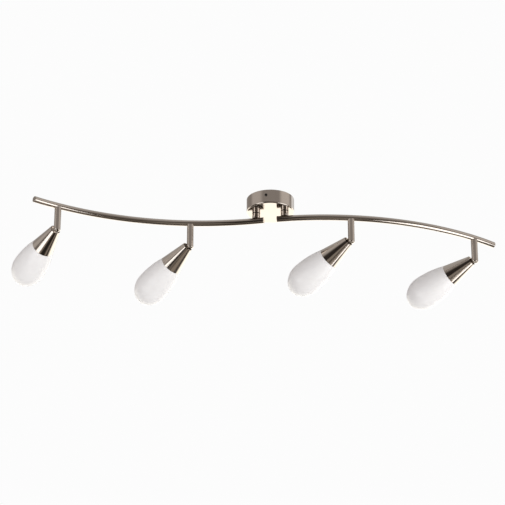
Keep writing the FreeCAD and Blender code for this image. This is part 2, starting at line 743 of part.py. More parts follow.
def make_nipple(side):
    """The hollow threaded tube that the arm turns on."""
    body = add_body(f"nipple_{side}", arc_place(side))
    section = add_sketch(body, "XY_Plane", "-nipple_top")
    draw_ring(section, "arc_r", "0", "nipple_bore_r", "nipple_r")
    pad(body, section, "nipple_foot - nipple_top", along=False)
    return body


def make_slip_washers(side):
    """Two equal nylon washers, one under and one over the canopy's floor."""
    body = add_body(f"slip_washers_{side}", arc_place(side))
    under, over = "-canopy_height - play", "canopy_wall + play - canopy_height"
    for height, along in ((under, False), (over, True)):
        washer = add_sketch(body, "XY_Plane", height)
        draw_ring(washer, "arc_r", "0", "nipple_r + play", "washer_r")
        pad(body, washer, "washer_height", along=along)
    return body


def make_nipple_nut(side):
    """A hexagon nut that draws the arm up to the canopy."""
    body = add_body(f"nipple_nut_{side}", arc_place(side))
    flats = add_sketch(body, "XY_Plane", "canopy_wall + play + washer_height - canopy_height")
    corner_r = "nut_across / 2 / cos(30 deg)"
    turns = [f"{60 * i} deg" for i in range(6)]
    draw_polygon(flats, [(f"arc_r + {corner_r} * cos({t})", f"{corner_r} * sin({t})") for t in turns])
    draw_circle(flats, "arc_r", "0", "nipple_r")
    pad(body, flats, "nut_height")
    return body


def make_saddles(side):
    """Two collars coped to the underside of the rail. The stems turn in them."""
    body = add_body(f"saddles_{side}", arc_place(side))
    collars = add_sketch(body, "XY_Plane", "-saddle_top")
    for run in STEM_RUNS:
        draw_ring(collars, *run_spot(run), "spigot_r + play", "stem_r")
    pad(body, collars, "saddle_foot - saddle_top", along=False)
    cope_over_rail(body)
    return body


def make_rail_wires(side):
    """Two cores along the rail to the outer stem, each with a spliced branch down the inner stem."""
    bend = number("core_bend_r")
    inner, outer = number("inner_stem_run"), number("outer_stem_run")
    long_lift, branch_lift = number("rail_core_lift"), number("drop_core_lift")
    cores = []
    for sign in BOTH_WAYS:
        offset = sign * number("core_gap")
        branch_start = inner - number("branch_run")
        inlet = inlet_route(bend, long_lift, offset)
        long_arc = rail_arc(bend, outer - bend, long_lift, offset)
        long_core = make_core(inlet + [long_arc] + outlet_route(outer, long_lift, offset))
        branch_arc = rail_arc(branch_start, inner - bend, branch_lift, offset)
        branch = make_core([branch_arc] + outlet_route(inner, branch_lift, offset))
        cores.append(long_core.fuse([branch, splice_sleeve(branch_start, offset)]))
    return lead_node(f"rail_wires_{side}", cores, arc_place(side))


def rail_arc(start, end, lift, offset):
    points = [run_point(run, lift, offset) for run in (start, (start + end) / 2, end)]
    return Part.Arc(*points).toShape()


def inlet_route(run, lift, offset):
    """From above the nipple down into the rail, ending along the arm at that run."""
    end = run_point(run, lift, offset)
    corner = end - run_direction(run) * run
    top = FreeCAD.Vector(corner.x, corner.y, -number("nipple_top + core_r"))
    return rounded_route([top, corner, end], run)


def outlet_route(stem_run, lift, offset):
    """From the rail down into a stem."""
    bend = number("core_bend_r")
    start = run_point(stem_run - bend, lift, offset)
    corner = start + run_direction(stem_run - bend) * bend
    foot = FreeCAD.Vector(corner.x, corner.y, -number("saddle_foot"))
    return rounded_route([start, corner, foot], bend)


def splice_sleeve(run, offset):
    length = number("splice_length")
    lift = number("(rail_core_lift + drop_core_lift) / 2")
    middle = run + number("branch_run - core_bend_r") / 2
    way = run_direction(middle)
    start = run_point(middle, lift, offset) - way * (length / 2)
    return Part.makeCylinder(number("splice_r"), length, start, way)


# ---------------------------------------------------------------- stems


def make_stem(head):
    """A stem with a swaged spigot at the top and a forked, rounded lower end, open to the front and below."""
    shoulder = "-saddle_foot - play"
    corners = [
        ("stem_bore_r", "-flare_top"),
        ("flare_r", "-flare_top"),
        ("flare_r", "-flare_foot"),
        ("spigot_r", "-flare_foot"),
        ("spigot_r", shoulder),
        ("stem_r", shoulder),
        ("stem_r", "-stem_foot"),
        ("0", "-stem_foot"),
        ("0", "-stem_bore_foot"),
        ("stem_bore_r", "-stem_bore_foot"),
    ]
    body = turned_body(f"stem_{head}", corners, stem_place(head))
    round_edges(body, "stem_edge_r", lambda e: is_level_circle(e, "stem_r", "-stem_foot"))
    fork = add_sketch(body, "XZ_Plane")
    fork_top = "tongue_r + tongue_room - pivot_drop"
    draw_rectangle(fork, "-tongue_r - tongue_room", "-stem_foot - stem_r", "stem_r * 2", fork_top)
    cut(body, fork, "tongue_wall + 2 * play", midplane=True)
    drill_pivot(body, "-pivot_tip - play", "pivot_r + play")
    drill_pivot(body, "pivot_seat", "pivot_head_r + play")
    return body


def drill_pivot(body, height, radius):
    """A bore for the pivot screw, from that height out through the stem's head side."""
    sketch = add_sketch(body, "XZ_Plane", height)
    draw_circle(sketch, "0", "-pivot_drop", radius)
    cut(body, sketch, "through", along=True)


def make_pivot_screw(head):
    """The cross screw that the head tilts on, with its head sunk in the stem."""
    body = add_body(f"pivot_screw_{head}", stem_place(head))
    shank = add_sketch(body, "XZ_Plane", "-pivot_tip")
    draw_circle(shank, "0", "-pivot_drop", "pivot_r")
    pad(body, shank, "pivot_tip + pivot_seat")
    cap = add_sketch(body, "XZ_Plane", "pivot_seat")
    draw_circle(cap, "0", "-pivot_drop", "pivot_head_r")
    pad(body, cap, "screw_head")
    recess = add_sketch(body, "XZ_Plane", "pivot_seat + screw_head")
    low, high = "-pivot_drop - screw_slot / 2", "-pivot_drop + screw_slot / 2"
    draw_rectangle(recess, "-pivot_head_r * slot_share", low, "pivot_head_r * slot_share", high)
    cut(body, recess, "screw_slot")
    return body


# ---------------------------------------------------------------- heads


def inside_cone(reach):
    """Inner radius of the cone at a reach, less a small clearance."""
    slope = "(cone_mouth_r - cone_small_r) / cone_length"
    return f"cone_small_r - cone_wall - play + ({reach} - cone_reach) * {slope}"


def make_tongue(head):
    """The knuckle's tongue with its round plate, which closes the cone's small end."""
    plate_back = "(plate_reach + plate_wall)"
    corners = [
        ("0", "-plate_reach"),
        (inside_cone("plate_reach"), "-plate_reach"),
        (inside_cone(plate_back), f"-{plate_back}"),
        ("hub_r", f"-{plate_back}"),
        ("hub_r", "-holder_reach"),
        ("0", "-holder_reach"),
    ]
    body = turned_body(f"tongue_{head}", corners, head_place(head))
    blade = add_sketch(body, "XZ_Plane")
    draw_rectangle(blade, "-tongue_r", f"-{plate_back}", "tongue_r", "0")
    pad(body, blade, "tongue_wall", midplane=True)
    eye = add_sketch(body, "XZ_Plane")
    draw_circle(eye, "0", "0", "tongue_r")
    pad(body, eye, "tongue_wall", midplane=True)
    bore = add_sketch(body, "XZ_Plane")
    draw_circle(bore, "0", "0", "pivot_r + play")
    cut(body, bore, "through", midplane=True)
    lead_holes = add_sketch(body, "XY_Plane")
    for sign in BOTH_WAYS:
        draw_circle(lead_holes, "0", times(sign, "lead_place"), "lead_hole_r")
    cut(body, lead_holes, "through")
    return body


def make_cone(head):
    """The spun cone between the knuckle and the glass."""
    mouth = "-cone_reach - cone_length"
    corners = [
        ("cone_small_r - cone_wall", "-cone_reach"),
        ("cone_small_r", "-cone_reach"),
        ("cone_mouth_r", mouth),
        ("cone_mouth_r - cone_wall", mouth),
    ]
    return turned_body(f"cone_{head}", corners, head_place(head))


def make_lamp_holder(head):
    """A ceramic two-pin holder, with its leads running up through the plate."""
    front = "-holder_reach - holder_length"
    corners = [("0", "-holder_reach"), ("holder_r", "-holder_reach"), ("holder_r", front), ("0", front)]
    body = turned_body(f"lamp_holder_{head}", corners, head_place(head))
    round_edges(body, "holder_edge_r", lambda e: is_circle(e, "holder_r"))
    socket = add_sketch(body, "XY_Plane", front)
    half_width, half_wall = "(seal_width / 2 + socket_room)", "(seal_wall / 2 + socket_room)"
    draw_rectangle(socket, f"-{half_width}", f"-{half_wall}", half_width, half_wall)
    cut(body, socket, "socket_depth", along=True)
    pin_holes = add_sketch(body, "XY_Plane", f"{front} + socket_depth")
    for sign in BOTH_WAYS:
        draw_circle(pin_holes, times(sign, "pin_place"), "0", "pin_r + play")
    cut(body, pin_holes, "pin_length + socket_room", along=True)
    leads = add_sketch(body, "XY_Plane", "-holder_reach")
    for sign in BOTH_WAYS:
        draw_circle(leads, "0", times(sign, "lead_place"), "core_r")
    pad(body, leads, "holder_reach - lead_reach")
    return body


def make_lamp(head):
    """A two-pin capsule lamp with its pressed seal in the holder's socket."""
    front = "-holder_reach - holder_length"
    tip = f"{front} - lamp_length"
    shoulder = f"{front} + socket_depth - seal_length"
    corners = [("0", shoulder), ("lamp_r", shoulder), ("lamp_r", tip), ("0", tip)]
    body = turned_body(f"lamp_{head}", corners, head_place(head))
    round_edges(body, "lamp_edge_r", lambda e: is_circle(e, "lamp_r"))
    seal_foot = f"{front} + socket_depth - play"
    seal = add_sketch(body, "XY_Plane", seal_foot)
    draw_rectangle(seal, "-seal_width / 2", "-seal_wall / 2", "seal_width / 2", "seal_wall / 2")
    pad(body, seal, "seal_length + lamp_r", along=False)
    pins = add_sketch(body, "XY_Plane", seal_foot)
    for sign in BOTH_WAYS:
        draw_circle(pins, times(sign, "pin_place"), "0", "pin_r")
    pad(body, pins, "pin_length")
    return body


def make_shade_ring(head):
    """The ring in the cone's mouth that grips the neck of the glass."""
    near, far = "(cone_reach + cone_length - ring_gap - ring_height)", "(cone_reach + cone_length - ring_gap)"
    corners = [
        ("shade_neck_r + play", f"-{near}"),
        (inside_cone(near), f"-{near}"),
        (inside_cone(far), f"-{far}"),
        ("shade_neck_r + play", f"-{far}"),
    ]
    return turned_body(f"shade_ring_{head}", corners, head_place(head))


def make_shade(head):
    """The opal glass: a narrow neck, then an egg that is widest past its middle."""
    body = add_body(f"shade_{head}", head_place(head))
    outside = add_sketch(body, "XZ_Plane")
    draw_shade_outline(outside, "0", f"{SHADE_MOUTH} + shade_neck")
    revolve(body, outside)
    inside = add_sketch(body, "XZ_Plane")
    draw_shade_outline(inside, "shade_wall", f"{SHADE_MOUTH} + shade_neck + shade_wall")
    groove(body, inside)
    return body


def draw_shade_outline(sketch, inset, neck_end):
    """Half of the glass, inset by a wall: neck, shoulder, then a flank, a cheek and a tip that meet smoothly."""
    neck_r, mouth_r = f"shade_neck_r - {inset}", f"cone_mouth_r - {inset}"
    mouth, girth_r, tip_r = f"{SHADE_MOUTH} - {inset}", f"shade_girth_r - {inset}", f"shade_tip_r - {inset}"
    tip_middle = "shade_length - shade_girth - shade_tip_r"
    flank_r = girth_radius(f"shade_girth - {inset}", mouth_r, girth_r)
    cheek_r = f"(({girth_r}) ^ 2 + ({tip_middle}) ^ 2 - ({tip_r}) ^ 2) / 2 / (shade_girth_r - shade_tip_r)"
    flank_centre = (f"{girth_r} - {flank_r}", SHADE_WIDEST)
    cheek_centre = (f"{girth_r} - {cheek_r}", SHADE_WIDEST)
    tip_centre = ("0", f"{SHADE_WIDEST} - ({tip_middle})")
    neck = [("0", neck_end), (neck_r, neck_end), (neck_r, mouth), (mouth_r, mouth)]
    widest, tip = spot(girth_r, SHADE_WIDEST), spot("0", f"{tip_centre[1]} - ({tip_r})")
    meeting = spot(*tip_centre) + (spot(*tip_centre) - spot(*cheek_centre)).normalize() * number(tip_r)
    points = [spot(*corner) for corner in neck]
    lines = [sketch.addGeometry(Part.LineSegment(p, q)) for p, q in zip(points, points[1:])]
    flank = sketch.addGeometry(arc_between(spot(*flank_centre), widest, points[-1]))
    cheek = sketch.addGeometry(arc_between(spot(*cheek_centre), meeting, widest))
    end = sketch.addGeometry(arc_between(spot(*tip_centre), tip, meeting))
    axis = sketch.addGeometry(Part.LineSegment(tip, points[0]))
    for line, following in zip(lines, lines[1:]):
        sketch.addConstraint(Sketcher.Constraint("Coincident", line, END, following, START))
    sketch.addConstraint(Sketcher.Constraint("Coincident", lines[-1], END, flank, END))
    sketch.addConstraint(Sketcher.Constraint("Coincident", flank, START, cheek, END))
    sketch.addConstraint(Sketcher.Constraint("Tangent", cheek, START, end, END))
    sketch.addConstraint(Sketcher.Constraint("Coincident", end, START, axis, START))
    sketch.addConstraint(Sketcher.Constraint("Coincident", axis, END, lines[0], START))
    for line, corner in zip(lines, neck):
        pin(sketch, line, START, *corner)
    pin(sketch, lines[-1], END, *neck[-1])
    for arc, centre in ((flank, flank_centre), (cheek, cheek_centre), (end, tip_centre)):
        pin(sketch, arc, CENTRE, *centre)
    limit(sketch, "DistanceY", *ORIGIN, flank, START, size=SHADE_WIDEST)
    limit(sketch, "DistanceX", *ORIGIN, axis, START, size="0")


def girth_radius(rise, start_r, girth_r):
    """Radius of the arc that grows from one radius to its widest over that rise, as an expression."""
    growth = f"({girth_r} - ({start_r}))"
    return f"((({rise}) ^ 2 + {growth} ^ 2) / 2 / {growth})"


def arc_between(centre, start, end):
    """The counterclockwise arc about a centre."""
    radius = (start - centre).Length
    angles = [math.atan2(point.y - centre.y, point.x - centre.x) for point in (start, end)]
    return Part.ArcOfCircle(Part.Circle(centre, UP, radius), *angles)


# ---------------------------------------------------------------- the whole fixture


def make_nodes():
    makers = [
        make_mounting_strap,
        make_canopy_cup,
        make_canopy_side_screws,
        make_terminal_block,
        make_terminal_inserts,
        make_terminal_screws,
        make_block_screws,
        make_earth_screw,
        make_earth_wire,
        make_feed_wires,
    ]
    arm_makers = [
        make_rail,
        make_rail_end_caps,
        make_post,
        make_nipple,
        make_slip_washers,
        make_nipple_nut,
        make_saddles,
        make_rail_wires,
    ]
    head_makers = [
        make_stem,
        make_pivot_screw,
        make_tongue,
        make_cone,
        make_lamp_holder,
        make_lamp,
        make_shade_ring,
        make_shade,
    ]
    nodes = [make() for make in makers]
    nodes += [make(side) for make in arm_makers for side in SIDES]
    nodes += [make(head) for make in head_makers for head in HEADS]
    return nodes


def check(nodes):
    doc.recompute()
    for item in doc.Objects:
        if "Invalid" in item.State or "Error" in item.State:
            raise RuntimeError(f"{item.Name} is {item.State}")
    for node in nodes:
        if node.Shape.isNull() or not node.Shape.isValid() or not node.Shape.Solids:
            raise RuntimeError(f"{node.Label} has no valid solid")


def export(nodes):
    os.makedirs("parts", exist_ok=True)
    for node in nodes:
        node.Shape.exportStep(f"parts/{node.Label}.step")
        print(f"{node.Label}: {len(node.Shape.Solids)} solid(s), {node.Shape.Volume:.1f} mm3")


fill_sheet()
all_nodes = make_nodes()
check(all_nodes)
export(all_nodes)
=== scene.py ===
"""Materials, studio light and camera for the four-light spotlight bar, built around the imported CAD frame.

Everything is in metres, in the frame of the CAD model: the origin is the middle of the ceiling face, and +Z
is up.
"""

import json
import math

import bpy
import numpy as np
from mathutils import Matrix, Vector

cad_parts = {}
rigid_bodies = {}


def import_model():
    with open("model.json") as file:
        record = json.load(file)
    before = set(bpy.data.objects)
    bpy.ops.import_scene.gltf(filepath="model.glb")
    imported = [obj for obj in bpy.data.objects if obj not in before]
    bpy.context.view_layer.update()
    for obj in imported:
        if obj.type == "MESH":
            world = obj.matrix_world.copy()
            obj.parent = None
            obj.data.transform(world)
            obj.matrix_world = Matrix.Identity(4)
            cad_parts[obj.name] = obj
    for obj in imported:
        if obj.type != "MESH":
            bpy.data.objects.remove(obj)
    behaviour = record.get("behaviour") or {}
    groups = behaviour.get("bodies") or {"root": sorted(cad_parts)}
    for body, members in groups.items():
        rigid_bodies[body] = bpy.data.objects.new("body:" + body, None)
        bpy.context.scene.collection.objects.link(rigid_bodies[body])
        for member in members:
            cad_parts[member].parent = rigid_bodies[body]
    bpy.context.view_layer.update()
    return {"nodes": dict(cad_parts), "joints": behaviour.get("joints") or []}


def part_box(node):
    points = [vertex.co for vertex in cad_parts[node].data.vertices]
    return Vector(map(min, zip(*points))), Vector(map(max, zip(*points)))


SIDES = ("left", "right")
HEADS = (1, 2, 3, 4)

# Camera: a long lens below the fixture, looking up at it from slightly to the right of its middle.
CAMERA_PLACE = Vector((0.7583, -4.1065, -2.0579))
CAMERA_PITCH = math.radians(24.87)
CAMERA_TURN = math.radians(10.98)
SENSOR_WIDTH = 36.0
FOCAL_LENGTH = 156.8
VIEW_DEPTH = 60.0

FLOOR_HEIGHT = -4.5
FLOOR_HALF = 40.0
FLOOR_GLOW = 0.38

# Softboxes: the way to each from the fixture in degrees, its size, and its radiance.
SOFTBOX_DISTANCE = 2.2
SOFTBOXES = {
    "softbox_right": {"azimuth": -8, "elevation": -38, "width": 1.65, "height": 1.45, "radiance": 2.6},
    "softbox_left": {"azimuth": -133, "elevation": -27, "width": 1.1, "height": 1.8, "radiance": 2.2},
}

NICKEL = (0.58, 0.53, 0.485)
NICKEL_SHADE = (0.50, 0.45, 0.405)
ZINC = (0.62, 0.64, 0.66)
DARK_STEEL = (0.09, 0.085, 0.08)
BRASS = (0.78, 0.57, 0.26)
POLYAMIDE = (0.82, 0.81, 0.77)
NYLON = (0.025, 0.024, 0.024)
BLUE_CORE = (0.05, 0.16, 0.48)
BROWN_CORE = (0.16, 0.06, 0.025)
EARTH_GREEN = (0.05, 0.35, 0.07)
EARTH_YELLOW = (0.78, 0.66, 0.06)
CERAMIC = (0.80, 0.77, 0.71)
SEAL = (0.70, 0.69, 0.66)
OPAL = (0.96, 0.95, 0.94)
OPAL_SHADE = (0.93, 0.915, 0.91)
PALE_FLOOR = (0.94, 0.94, 0.93)

# Brush lines: how fast their grain changes along and across them, per radian or per metre.
TURNED_LINES = (3.0, 5200.0)
DRAWN_LINES = (10.0, 22.0)

# Noise seldom leaves this range.
NOISE_RANGE = (0.25, 0.75)

# The room as the metal reflects it: its colours from straight down (0) to straight up (1).
ROOM_STEPS = (
    (0.0, (0.02, 0.016, 0.013)),
    (0.02, (0.04, 0.033, 0.027)),
    (0.055, (0.42, 0.36, 0.30)),
    (0.10, (0.06, 0.048, 0.04)),
    (0.36, (0.13, 0.11, 0.095)),
    (0.52, (0.22, 0.195, 0.17)),
    (0.75, (0.38, 0.35, 0.33)),
    (1.0, (0.62, 0.60, 0.58)),
)

# Soft patches in that room: the way to each, the cosines at its rim and where it is full, and its colour.
ROOM_PATCHES = (
    ((-0.16, -0.93, -0.33), (0.72, 0.95), (0.035, 0.028, 0.024)),  # shadow in front
    ((0.20, -0.76, -0.62), (0.955, 0.985), (0.34, 0.30, 0.26)),  # spot low in front
    ((-0.81, -0.43, 0.40), (0.82, 0.97), (0.62, 0.58, 0.55)),  # pale wall high on the left
    ((0.92, 0.00, 0.39), (0.82, 0.97), (0.75, 0.70, 0.66)),  # pale wall high on the right
    ((0.46, 0.81, 0.37), (0.94, 0.99), (1.00, 1.00, 1.00)),  # lamp behind on the right
)

# The white backdrop as the metal reflects it: the way to it, the cosines between which it fades sideways, and
# the heights (-1 straight down, 1 straight up) between which it fades at its foot and its top.
BACKDROP_WAY = (-0.19, 0.98, 0.0)
BACKDROP_SIDE = (0.20, 0.62)
BACKDROP_FOOT = (-0.72, -0.42)
BACKDROP_TOP = (0.40, 0.18)
BACKDROP_GLOW = (2.10, 2.05, 1.88)

# Soft light for everything but reflections, brighter towards the lower right.
FILL_WAY = (0.85, 0.0, -0.53)
FILL_DIM = (0.42, 0.39, 0.39)
FILL_BRIGHT = (0.90, 0.88, 0.87)

# What the camera sees behind the fixture.
SEEN_WHITE = (0.975, 0.975, 0.975)


# ---------------------------------------------------------------- node helpers


class Nodes:
    """Short ways to add linked nodes to a tree."""

    def __init__(self, tree):
        self.tree = tree

    def add(self, kind, values=(), **settings):
        """A node with its settings, and its first inputs set or linked."""
        node = self.tree.nodes.new(f"ShaderNode{kind}")
        for name, value in settings.items():
            setattr(node, name, value)
        for socket, value in zip(node.inputs, values):
            self.feed(socket, value)
        return node

    def feed(self, socket, value):
        if isinstance(value, bpy.types.NodeSocket):
            self.tree.links.new(value, socket)
        else:
            socket.default_value = value

    def math(self, operation, *values):
        return self.add("Math", values, operation=operation).outputs[0]

    def dot(self, first, second):
        return self.add("VectorMath", (first, second), operation="DOT_PRODUCT").outputs["Value"]

    def smooth(self, value, low, high):
        """0 below low, 1 above high, and a smooth step between."""
        node = self.add("MapRange", (value, low, high, 0.0, 1.0), interpolation_type="SMOOTHSTEP")
        return node.outputs[0]

    def blend(self, factor, first, second):
        """A colour between two, each a colour or a colour socket."""
        node = self.add("Mix", data_type="RGBA")
        self.feed(node.inputs["Factor"], factor)
        sockets = [socket for socket in node.inputs if socket.type == "RGBA"]
        for socket, colour in zip(sockets, (first, second)):
            self.feed(socket, (*colour, 1) if isinstance(colour, tuple) else colour)
        return next(socket for socket in node.outputs if socket.type == "RGBA")

    def ramp(self, value, steps):
        """Colours at places along a 0 to 1 value, the first at 0 and the last at 1."""
        node = self.add("ValToRGB", (value,))
        elements = node.color_ramp.elements
        for place, _ in steps[1:-1]:
            elements.new(place)
        for element, (place, colour) in zip(elements, steps):
            element.position = place
            element.color = (*colour, 1)
        return node.outputs[0]


class Shader(Nodes):
    """A material with a Principled shader."""

    def __init__(self, name, **inputs):
        self.material = bpy.data.materials.new(name)
        self.material.use_nodes = True
        super().__init__(self.material.node_tree)
        self.surface = self.tree.nodes["Principled BSDF"]
        self.set(**inputs)

    def place(self):
        """Coordinates of the CAD frame. They stay with the piece when it moves."""
        return self.add("TexCoord").outputs["Object"]

    def local(self, origin, rotation):
        """Coordinates about an origin, with Z along the rotation's Z axis."""
        inputs = (self.place(), origin, rotation.to_euler())
        return self.add("Mapping", inputs, vector_type="TEXTURE").outputs[0]

    def lines(self, along, across, pace):
        """Coordinates whose noise looks like brush lines."""
        stretched = [self.math("MULTIPLY", *pair) for pair in zip((along, across), pace)]
        return self.add("CombineXYZ", stretched).outputs[0]

    def noise(self, vector, scale, detail=2.0, roughness=0.5):
        node = self.add("TexNoise")
        node.inputs["Scale"].default_value = scale
        node.inputs["Detail"].default_value = detail
        node.inputs["Roughness"].default_value = roughness
        self.feed(node.inputs["Vector"], vector)
        return node.outputs["Fac"]

    def spread(self, value, low, high):
        """Noise spread over a range."""
        return self.add("MapRange", (value, *NOISE_RANGE, low, high)).outputs[0]

    def bump(self, height, strength, distance):
        node = self.add("Bump")
        node.inputs["Strength"].default_value = strength
        node.inputs["Distance"].default_value = distance
        self.feed(node.inputs["Height"], height)
        self.feed(self.surface.inputs["Normal"], node.outputs[0])

    def set(self, **inputs):
        """Set or link inputs of the surface, with _ for the spaces in their labels."""
        for label, value in inputs.items():
            self.feed(self.surface.inputs[label.replace("_", " ")], value)


# ---------------------------------------------------------------- satin nickel


def finish_nickel(shader, lines):
    """Satin nickel: fine brush lines, a soft cloudiness, and slightly uneven gloss."""
    cloud = shader.noise(shader.place(), scale=38.0, detail=4.0)
    grain = shader.noise(lines, scale=1.0, detail=3.0, roughness=0.65)
    tone = shader.math("MULTIPLY_ADD", grain, 0.5, shader.math("MULTIPLY", cloud, 0.5))
    gloss = shader.math("ADD", shader.spread(cloud, -0.03, 0.03), shader.spread(grain, 0.10, 0.15))
    colour = shader.blend(shader.spread(tone, 0.0, 1.0), NICKEL_SHADE, NICKEL)
    shader.set(Base_Color=colour, Roughness=gloss)
    shader.bump(grain, strength=0.05, distance=0.00004)


def turned_nickel(name, origin, rotation):
    """Nickel with brush lines round an axis, for turned and spun pieces."""
    shader = Shader(name, Metallic=1.0)
    x, y, height = shader.add("SeparateXYZ", (shader.local(origin, rotation),)).outputs
    around = shader.math("ARCTAN2", y, x)
    finish_nickel(shader, shader.lines(around, height, TURNED_LINES))
    return shader.material


def drawn_nickel(name, centre, radius, height):
    """Nickel with brush lines along an arc-shaped tube."""
    shader = Shader(name, Metallic=1.0)
    x, y, z = shader.add("SeparateXYZ", (shader.local(centre, Matrix.Identity(3)),)).outputs
    along = shader.math("ARCTAN2", x, shader.math("MULTIPLY", y, -1.0))
    squares = [shader.math("POWER", value, 2.0) for value in (x, y)]
    aside = shader.math("SUBTRACT", shader.math("SQRT", shader.math("ADD", *squares)), radius)
    around = shader.math("ARCTAN2", shader.math("SUBTRACT", z, height), aside)
    finish_nickel(shader, shader.lines(along, around, DRAWN_LINES))
    return shader.material


# ---------------------------------------------------------------- other materials


def darkened(colour, share):
    return tuple(share * channel for channel in colour)


def rough_metal(name, colour, gloss, grain_scale):
    """Plated steel or brass, with a grain of uneven gloss and with darker patches."""
    shader = Shader(name, Metallic=1.0)
    grain = shader.noise(shader.place(), scale=grain_scale, detail=4.0)
    patches = shader.noise(shader.place(), scale=90.0)
    shader.set(
        Base_Color=shader.blend(shader.spread(patches, 0.0, 1.0), darkened(colour, 0.72), colour),
        Roughness=shader.spread(grain, gloss - 0.08, gloss + 0.10),
    )
    shader.bump(grain, strength=0.2, distance=0.0001)
    return shader.material


def moulded(name, colour, gloss, **inputs):
    """Moulded plastic or rubber with a fine, even grain."""
    shader = Shader(name, **inputs)
    grain = shader.noise(shader.place(), scale=2600.0, detail=3.0)
    shade = shader.noise(shader.place(), scale=60.0)
    shader.set(
        Base_Color=shader.blend(shader.spread(shade, 0.0, 1.0), darkened(colour, 0.86), colour),
        Roughness=shader.spread(grain, gloss - 0.07, gloss + 0.07),
    )
    shader.bump(grain, strength=0.15, distance=0.00008)
    return shader.material


def ceramic():
    """Unglazed steatite: matt, with sparse dark specks."""
    shader = Shader("ceramic_fine")
    specks = shader.noise(shader.place(), scale=1800.0, detail=5.0, roughness=0.7)
    shader.set(
        Base_Color=shader.blend(shader.spread(specks, 0.0, 1.0), darkened(CERAMIC, 0.78), CERAMIC),
        Roughness=shader.spread(specks, 0.55, 0.75),
    )
    shader.bump(specks, strength=0.2, distance=0.0001)
    return shader.material


def core_insulation():
    """Insulated cores, brown on the +Y side of the posts and blue on the other side."""
    shader = Shader("core_insulation")
    side = shader.add("SeparateXYZ", (shader.place(),)).outputs[1]
    marks = shader.noise(shader.place(), scale=900.0, detail=3.0)
    brown_side = shader.math("GREATER_THAN", side, 0.0)
    shader.set(
        Base_Color=shader.blend(brown_side, BLUE_CORE, BROWN_CORE),
        Roughness=shader.spread(marks, 0.40, 0.55),
    )
    shader.bump(marks, strength=0.15, distance=0.00005)
    return shader.material


def earth_insulation():
    """Green insulation with a yellow stripe."""
    shader = Shader("earth_insulation_striped")
    stripes = shader.add("TexWave", (shader.place(), 140.0), bands_direction="DIAGONAL").outputs["Fac"]
    marks = shader.noise(shader.place(), scale=900.0, detail=3.0)
    shader.set(
        Base_Color=shader.blend(shader.math("GREATER_THAN", stripes, 0.5), EARTH_GREEN, EARTH_YELLOW),
        Roughness=shader.spread(marks, 0.40, 0.55),
    )
    shader.bump(marks, strength=0.15, distance=0.00005)
    return shader.material


def clear_glass():
    """Clear lamp glass, with the faint ripple of a drawn bulb."""
    shader = Shader("lamp_glass", Transmission_Weight=1.0, IOR=1.46)
    ripple = shader.noise(shader.place(), scale=260.0)
    shader.set(Base_Color=(0.98, 0.98, 0.98, 1), Roughness=shader.spread(ripple, 0.0, 0.05))
    shader.bump(ripple, strength=0.1, distance=0.0001)
    return shader.material


def opal_glass():
    """Opal glass with an etched outer face: white, softly translucent, with a satin sheen."""
    shader = Shader(
        "opal_glass_etched",
        Transmission_Weight=0.06,
        IOR=1.5,
        Subsurface_Weight=0.25,
        Subsurface_Scale=0.01,
        Coat_Weight=0.25,
        Coat_Roughness=0.25,
    )
    shader.surface.inputs["Subsurface Radius"].default_value = (1.0, 0.96, 0.92)
    cloud = shader.noise(shader.place(), scale=26.0, detail=3.0)
    etching = shader.noise(shader.place(), scale=3200.0, detail=2.0)
    shader.set(
        Base_Color=shader.blend(shader.spread(cloud, 0.0, 1.0), OPAL_SHADE, OPAL),
        Roughness=shader.spread(etching, 0.34, 0.44),
    )
    shader.bump(etching, strength=0.08, distance=0.00004)
    return shader.material


# ---------------------------------------------------------------- materials on the CAD nodes


def paint(node, material):
    for slot in frame["nodes"][node].material_slots:
        slot.material = material


def middle_of(node):
    low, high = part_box(node)
    return (low + high) / 2


def arc_of(node):
    """Centre and radius of an arc-shaped tube in plan, from a circle fitted to its vertices."""
    points = np.array([vertex.co.xy for vertex in frame["nodes"][node].data.vertices])
    terms = np.column_stack([2 * points, np.ones(len(points))])
    (x, y, rest), *_ = np.linalg.lstsq(terms, (points**2).sum(axis=1), rcond=None)
    return Vector((x, y, 0)), math.sqrt(rest + x * x + y * y)


def head_turn(head):
    """Rotation whose Z axis is the axis of a head at rest, and the pivot that the axis goes through."""
    joint = next(joint for joint in frame["joints"] if joint["name"] == f"tilt_{head}")
    tilt = -math.radians(joint["range_deg"][0])
    axis = Matrix.Rotation(tilt, 3, Vector(joint["axis"])) @ Vector((0, 0, -1))
    return axis.to_track_quat("Z", "Y").to_matrix(), Vector(joint["pos_m"])


def paint_upright(node):
    """Nickel turned about the upright axis through the middle of a node."""
    paint(node, turned_nickel(f"nickel_{node}", middle_of(node), Matrix.Identity(3)))


def paint_nickel():
    paint("canopy_cup", turned_nickel("nickel_canopy", Vector(), Matrix.Identity(3)))
    for side in SIDES:
        centre, radius = arc_of(f"rail_{side}")
        height = middle_of(f"rail_{side}").z
        paint(f"rail_{side}", drawn_nickel(f"nickel_rail_{side}", centre, radius, height))
        paint(f"rail_end_caps_{side}", drawn_nickel(f"nickel_caps_{side}", centre, radius, height))
        paint_upright(f"post_{side}")
        paint_upright(f"saddles_{side}")
    for head in HEADS:
        turn, pivot = head_turn(head)
        paint_upright(f"stem_{head}")
        for piece in ("cone", "tongue"):
            paint(f"{piece}_{head}", turned_nickel(f"nickel_{piece}_{head}", pivot, turn))


def paint_by_slot(finishes):
    """Give each CAD node that still has its plain slot material the finish for that slot."""
    for node in frame["nodes"].values():
        for slot in node.material_slots:
            slot.material = finishes.get(slot.material.name.split(".")[0], slot.material)


